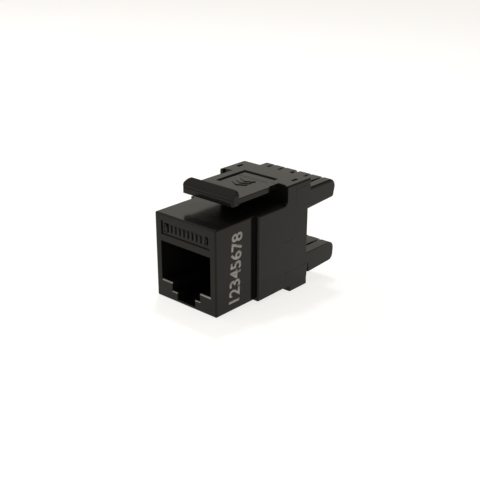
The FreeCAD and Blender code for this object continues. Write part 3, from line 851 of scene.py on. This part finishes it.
@dataclass
class Latch:
    """The sprung arm on top: a plate with a sunken panel, a neck that bends, and the thumb lip."""

    half_width: float = 6.0
    half_neck: float = 5.7
    neck_front: float = 15.5
    root_end: float = 17.25
    panel_half_width: float = 4.0
    panel_front: float = 12.3
    panel_depth: float = 0.25
    plate_thickness: float = 1.05
    edge: float = 0.12
    shortest: float = 0.5
    bend_steps: int = 6
    lip: LatchLip = field(default_factory=LatchLip)
    mark: PanelMark = field(default_factory=PanelMark)

    def plate(self, front: float, top: float) -> Shape:
        """Make the flat arm and its neck, with the sunken panel and its mark.

        Args:
            front: The distance of its front end.
            top: The height of its top face.

        Returns:
            The arm.
        """
        under = top - self.plate_thickness
        arm = Shape.block((-self.half_width, front, under), (self.half_width, self.neck_front, top))
        neck = Shape.block(
            (-self.half_neck, self.neck_front - 1.0, under), (self.half_neck, self.root_end, top)
        )
        arm.combine(neck, Join.ADD)
        floor = top - self.panel_depth
        well = Shape.block(
            (-self.panel_half_width, self.panel_front, floor),
            (self.panel_half_width, self.root_end + 1.0, top + 1.0),
        )
        arm.combine(well, Join.CUT)
        for chevron in self.mark.build(floor, self.panel_depth):
            arm.combine(chevron, Join.ADD)
        return arm

    def wants(self, edge: bmesh.types.BMEdge) -> bool:
        """Say whether an edge is an outer corner, away from the joint with the housing."""
        at_root = min(vert.co.y for vert in edge.verts) > self.root_end - SAME_PLACE
        return is_corner(edge) and edge.calc_length() >= self.shortest and not at_root

    def build(self, book: FinishBook) -> bpy.types.Object:
        """Build and dress the latch.

        Args:
            book: The finishes.

        Returns:
            The latch.
        """
        low, high = (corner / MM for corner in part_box("latch_arm"))
        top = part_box("front_housing")[1].z / MM
        shape = self.plate(low.y + self.lip.length - 0.5, top)
        shape.combine(self.lip.build(low.y, low.z, top), Join.ADD)
        shape.round_edges([edge for edge in shape.mesh.edges if self.wants(edge)], self.edge, 3)
        for step in range(1, self.bend_steps):
            place = self.neck_front + (self.root_end - self.neck_front) * step / self.bend_steps
            shape.slice_at((0.0, place, 0.0), (0.0, 1.0, 0.0))
        piece = shape.to_object("latch")
        smooth(piece)
        book.dress(piece, Slot.SHELL)
        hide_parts("latch_arm")
        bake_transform(piece)
        LOG.info("%s: %d faces, bends between housing and latch", piece.name, len(piece.data.polygons))
        return piece


@dataclass
class ContactWires:
    """The eight contact wires: each is one round wire, bent back on itself over the port."""

    sides: int = 14
    bend_steps: int = 10
    knee_steps: int = 3
    knee_radius: float = 0.6
    blend_start: float = 0.25
    blend_end: float = 0.8

    def wire(self, number: int) -> bpy.types.Object:
        """Make one wire along its lead and its beam.

        Args:
            number: The contact's number, from 1.

        Returns:
            The wire.
        """
        low, high = (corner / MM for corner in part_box(f"contact_lead_{number}"))
        far_low, far_high = (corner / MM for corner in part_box(f"contact_beam_{number}"))
        radius = (high.x - low.x) / 2
        middle = (low.x + high.x) / 2
        bend = (high.z - low.z) / 2 - radius
        nose = low.y + radius + bend
        lead_height = high.z - radius
        beam_height = low.z + radius
        drop = beam_height - (far_low.z + radius)
        reach = far_high.y - (far_low.y + radius)
        slope = math.atan2(drop, reach)
        shape = Shape()
        mesh = shape.mesh
        upright = Matrix.Translation((middle, high.y, lead_height)) @ Matrix.Rotation(math.pi / 2, 4, "X")
        ring = bmesh.ops.create_circle(
            mesh, segments=self.sides, radius=radius, matrix=upright, cap_ends=True
        )
        face = ring["verts"][0].link_faces[0]
        section = bmesh.ops.extrude_face_region(mesh, geom=[face])["geom"]
        self.shift(mesh, section, (0.0, nose - high.y, 0.0))
        section = self.turn(mesh, section, (middle, nose, lead_height - bend), math.pi, self.bend_steps)
        knee = (middle, nose, beam_height - self.knee_radius)
        section = self.turn(mesh, section, knee, slope, self.knee_steps, back=True)
        end = [part for part in section if isinstance(part, bmesh.types.BMFace)]
        section = bmesh.ops.extrude_face_region(mesh, geom=end)["geom"]
        length = math.hypot(drop, reach)
        self.shift(mesh, section, (0.0, length * math.cos(slope), -length * math.sin(slope)))
        inner = [face for face in mesh.faces if all(len(edge.link_faces) > 2 for edge in face.edges)]
        bmesh.ops.delete(mesh, geom=inner, context="FACES")
        bmesh.ops.recalc_face_normals(mesh, faces=mesh.faces)
        piece = shape.to_object(f"contact_wire_{number}")
        smooth(piece)
        return piece

    @staticmethod
    def shift(mesh: bmesh.types.BMesh, parts: Sequence[Any], way: Point) -> None:
        """Move the vertices among some parts of a mesh."""
        moved = [part for part in parts if isinstance(part, bmesh.types.BMVert)]
        bmesh.ops.translate(mesh, vec=way, verts=moved)

    @staticmethod
    def turn(
        mesh: bmesh.types.BMesh, parts: Sequence[Any], centre: Point, angle: float, steps: int,
        back: bool = False,
    ) -> list[Any]:
        """Sweep a section about a line across the port.

        Args:
            mesh: The mesh.
            parts: The section's face, edges and vertices.
            centre: A point on the line.
            angle: How far the section turns, in radians.
            steps: The number of steps.
            back: Whether it turns the other way.

        Returns:
            The section at the end of the sweep.
        """
        faces = [part for part in parts if isinstance(part, bmesh.types.BMFace)]
        axis = (-1.0 if back else 1.0, 0.0, 0.0)
        swept = bmesh.ops.spin(
            mesh, geom=faces, cent=centre, axis=axis, angle=angle, steps=steps,
            use_merge=False, use_duplicate=False,
        )
        return swept["geom_last"]

    def build(self, book: FinishBook) -> None:
        """Build and dress every wire.

        Args:
            book: The finishes.
        """
        for number in range(1, CONTACT_COUNT + 1):
            piece = self.wire(number)
            book.dress(piece, Slot.CONTACT)
            nodes = (f"contact_lead_{number}", f"contact_beam_{number}")
            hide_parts(*nodes)
            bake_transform(piece)
            faces = len(piece.data.polygons)
            LOG.info("%s: %d faces, bends between housing and its contact", piece.name, faces)


@dataclass
class Numerals:
    """A row of plain numerals that stands on a face of the front block."""

    name: str
    text: str
    width: float
    height: float
    depth: float
    weight: float = 0.0

    def shape(self) -> Shape:
        """Make the row lying flat, with its lower left corner at the origin."""
        curve = bpy.data.curves.new(self.name, "FONT")
        curve.body = self.text
        curve.resolution_u = 4
        curve.offset = self.weight
        letters = bpy.data.objects.new(f"{self.name}_text", curve)
        bpy.context.scene.collection.objects.link(letters)
        graph = bpy.context.evaluated_depsgraph_get()
        flat = bpy.data.meshes.new_from_object(letters.evaluated_get(graph))
        bpy.data.objects.remove(letters)
        row = Shape()
        mesh = row.mesh
        mesh.from_mesh(flat)
        bpy.data.meshes.remove(flat)
        bmesh.ops.remove_doubles(mesh, verts=mesh.verts, dist=SAME_POINT)
        left = min(vert.co.x for vert in mesh.verts)
        right = max(vert.co.x for vert in mesh.verts)
        foot = min(vert.co.y for vert in mesh.verts)
        head = max(vert.co.y for vert in mesh.verts)
        bmesh.ops.translate(mesh, vec=(-left, -foot, 0.0), verts=mesh.verts)
        size = (self.width / (right - left), self.height / (head - foot), 1.0)
        bmesh.ops.scale(mesh, vec=size, verts=mesh.verts)
        made = bmesh.ops.extrude_face_region(mesh, geom=mesh.faces[:], use_keep_orig=True)
        raised = [part for part in made["geom"] if isinstance(part, bmesh.types.BMVert)]
        bmesh.ops.translate(mesh, vec=(0.0, 0.0, self.depth), verts=raised)
        return row

    def build(self, turned: Matrix) -> bpy.types.Object:
        """Build the row.

        Args:
            turned: The matrix that carries the flat row to its place.

        Returns:
            The row.
        """
        row = self.shape()
        bmesh.ops.transform(row.mesh, matrix=turned, verts=row.mesh.verts)
        bmesh.ops.recalc_face_normals(row.mesh, faces=row.mesh.faces)
        return row.to_object(self.name)


@dataclass
class Lettering:
    """The contact numbers: printed up the block's side, and moulded beside the label's ticks."""

    wall: float = 7.35
    print_length: float = 12.9
    print_height: float = 2.8
    print_baseline: float = 5.93
    print_foot: float = 1.5
    print_lean: float = 0.07
    ink_thickness: float = 0.012
    print_weight: float = 0.02
    label_floor: float = 0.28
    label_raise: float = 0.2
    label_foot: float = 12.85
    numeral_height: float = 1.55
    numeral_width: float = 0.85
    numeral_weight: float = 0.01
    numeral_places: tuple[tuple[str, float], ...] = (("1", -5.2), ("8", 4.4))

    def build(self, book: FinishBook) -> None:
        """Build and dress the numerals.

        Args:
            book: The finishes.
        """
        base = block_base()
        side = Matrix((
            (0.0, 0.0, 1.0, self.wall), (self.print_lean, -1.0, 0.0, self.print_baseline),
            (1.0, 0.0, 0.0, base + self.print_foot), (0.0, 0.0, 0.0, 1.0),
        ))
        printed = Numerals(
            "side_numerals", "12345678", self.print_length, self.print_height, self.ink_thickness,
            self.print_weight,
        ).build(side)
        book.cover(printed, book.ink)
        finish_piece(printed, Body.HOUSING.value)
        for text, place in self.numeral_places:
            front = Matrix((
                (1.0, 0.0, 0.0, place), (0.0, 0.0, -1.0, self.label_floor),
                (0.0, 1.0, 0.0, base + self.label_foot), (0.0, 0.0, 0.0, 1.0),
            ))
            numeral = Numerals(
                f"label_numeral_{text}", text, self.numeral_width, self.numeral_height,
                self.label_raise, self.numeral_weight,
            ).build(front)
            book.dress(numeral, Slot.SHELL)
            finish_piece(numeral, Body.HOUSING.value)


@dataclass
class KeptNodes:
    """The CAD nodes that stay as they are and only get their finishes."""

    slots: dict[str, Slot] = field(default_factory=dict)

    def __post_init__(self) -> None:
        """List the nodes with their slots."""
        self.slots = {"contact_carrier": Slot.INSERT, "circuit_board": Slot.BOARD}
        for number in range(1, CONTACT_COUNT // 2 + 1):
            self.slots[f"upper_blade_{number}"] = Slot.BLADE
            self.slots[f"lower_blade_{number}"] = Slot.BLADE

    def build(self, nodes: dict[str, bpy.types.Object], book: FinishBook) -> None:
        """Dress the nodes.

        Args:
            nodes: The CAD nodes by name.
            book: The finishes.
        """
        for name, slot in self.slots.items():
            book.dress(nodes[name], slot)
            LOG.info("%s keeps its solid", name)


# Studio


@dataclass
class Studio:
    """A white floor, plain soft light that is dimmer overhead than low down, and the camera."""

    camera_place: Point = (0.099885, -0.096589, 0.061808)
    camera_turn: float = 42.02
    camera_dip: float = 22.145
    camera_roll: float = -0.07
    lens: float = 65.19
    floor_half_size: float = 2.0
    floor_front: Point = (0.0, 0.3, 0.0)
    floor_back: Point = (0.0, 18.9, -FOOT_DROP)
    sky: Point = (1.0, 0.955, 0.85)
    sky_steps: tuple[tuple[float, float], ...] = (
        (0.3, 0.66), (0.345, 0.84), (0.4, 0.88), (0.45, 0.84), (0.6, 0.1),
    )
    lamps: tuple[tuple[str, Point, float, float], ...] = (
        ("front_left_softbox", (-0.4, -0.13, 0.43), 0.8, 1.1),
        ("overhead_softbox", (-0.05, 0.1, 0.55), 0.4, 0.9),
        ("small_key_lamp", (-0.18, 0.2, 0.5), 0.06, 1.0),
    )

    def floor(self, book: FinishBook) -> None:
        """Lay the floor under the front block and the foot.

        Args:
            book: The finishes.
        """
        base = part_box("front_housing")[0].z - self.floor_back[2] * MM
        run = (self.floor_back[1] - self.floor_front[1]) * MM
        drop = self.floor_back[2] * MM
        tilt = math.atan2(drop, run)
        mesh = bmesh.new()
        bmesh.ops.create_grid(mesh, x_segments=4, y_segments=4, size=self.floor_half_size)
        middle = Matrix.Translation((0.0, self.floor_front[1] * MM, base))
        bmesh.ops.transform(mesh, matrix=middle @ Matrix.Rotation(tilt, 4, "X"), verts=mesh.verts)
        data = bpy.data.meshes.new("floor")
        mesh.to_mesh(data)
        mesh.free()
        piece = bpy.data.objects.new("floor", data)
        bpy.context.scene.collection.objects.link(piece)
        book.cover(piece, book.paper)

    def light(self) -> None:
        """Light the scene with a soft sky, two broad lamps and a small key lamp."""
        world = bpy.data.worlds.new("soft_sky")
        world.use_nodes = True
        tree = world.node_tree
        place = tree.nodes.new("ShaderNodeTexCoord")
        height = tree.nodes.new("ShaderNodeSeparateXYZ")
        shade = tree.nodes.new("ShaderNodeValToRGB")
        tree.links.new(place.outputs["Generated"], height.inputs["Vector"])
        tree.links.new(height.outputs["Z"], shade.inputs["Fac"])
        tree.links.new(shade.outputs["Color"], tree.nodes["Background"].inputs["Color"])
        stops = shade.color_ramp.elements
        while len(stops) < len(self.sky_steps):
            stops.new(0.5)
        for stop, (position, brightness) in zip(stops, self.sky_steps):
            stop.position = position
            stop.color = (*(brightness * channel for channel in self.sky), 1.0)
        bpy.context.scene.world = world
        for name, place, size, power in self.lamps:
            lamp = bpy.data.lights.new(name, "AREA")
            lamp.shape = "DISK"
            lamp.size = size
            lamp.energy = power
            holder = bpy.data.objects.new(name, lamp)
            bpy.context.scene.collection.objects.link(holder)
            holder.location = place
            holder.rotation_euler = (-Vector(place)).to_track_quat("-Z", "Y").to_euler()

    def camera(self) -> None:
        """Set up the camera."""
        data = bpy.data.cameras.new("camera")
        data.lens = self.lens
        data.clip_start = 0.005
        data.clip_end = 20.0
        holder = bpy.data.objects.new("camera", data)
        bpy.context.scene.collection.objects.link(holder)
        holder.location = self.camera_place
        look = Matrix.Rotation(math.radians(self.camera_turn), 4, "Z")
        look @= Matrix.Rotation(math.radians(90.0 - self.camera_dip), 4, "X")
        look @= Matrix.Rotation(math.radians(self.camera_roll), 4, "Z")
        holder.rotation_euler = look.to_euler()
        bpy.context.scene.camera = holder
        bpy.context.scene.view_settings.view_transform = "Standard"

    def build(self, book: FinishBook) -> None:
        """Build the studio.

        Args:
            book: The finishes.
        """
        self.floor(book)
        self.light()
        self.camera()


def shells() -> list[SoftShell]:
    """Return the two moulded shells.

    The boxes say where the seams and the latch's root stay sharp, what joins that root to the
    plate and raises the label's floor, where the sills get a painted glint, and where the
    block's underside is rounded more.

    Returns:
        The shells.
    """
    base = block_base()
    seams = tuple(
        ((side - 0.1, 17.0, base + 2.9), (side + 0.1, 23.6, base + 18.7)) for side in (-8.3, 8.3)
    )
    root = ((-5.9, 17.2, base + 18.5), (5.9, 17.3, base + 19.8))
    latch_root = (
        ((-5.697, 17.25, base + 18.653), (5.697, 17.95, base + 19.447)),
        ((-5.697, 17.25, base + 19.0), (-4.003, 17.95, base + 19.697)),
        ((4.003, 17.25, base + 19.0), (5.697, 17.95, base + 19.697)),
    )
    label = ((-5.9, 0.28, base + 12.3), (5.9, 0.45, base + 14.95))
    # The forward-leaning sills in this box get the pale finish: a painted glint.
    sill = ((-6.3, -0.1, base + 1.5), (6.3, 0.35, base + 3.7))
    foot = ((-7.5, -0.1, base - 0.02), (7.5, 9.7, base + 0.02))
    return [
        SoftShell(
            "front_housing", "housing_shell", kept=(*seams, root), filled=(*latch_root, label),
            wear_and_painted_glint=(sill,), softest=(foot,),
        ),
        SoftShell("rear_block", "rear_block_shell", kept=seams),
    ]


def main() -> None:
    """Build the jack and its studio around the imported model."""
    logging.basicConfig(level=logging.INFO, format="%(name)s: %(message)s")
    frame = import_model()
    nodes = frame["nodes"]
    book = FinishBook()
    book.build()
    Studio().build(book)
    for shell in shells():
        shell.build(nodes, book)
    Latch().build(book)
    ContactWires().build(book)
    Lettering().build(book)
    KeptNodes().build(nodes, book)


if __name__ == "__main__":
    main()
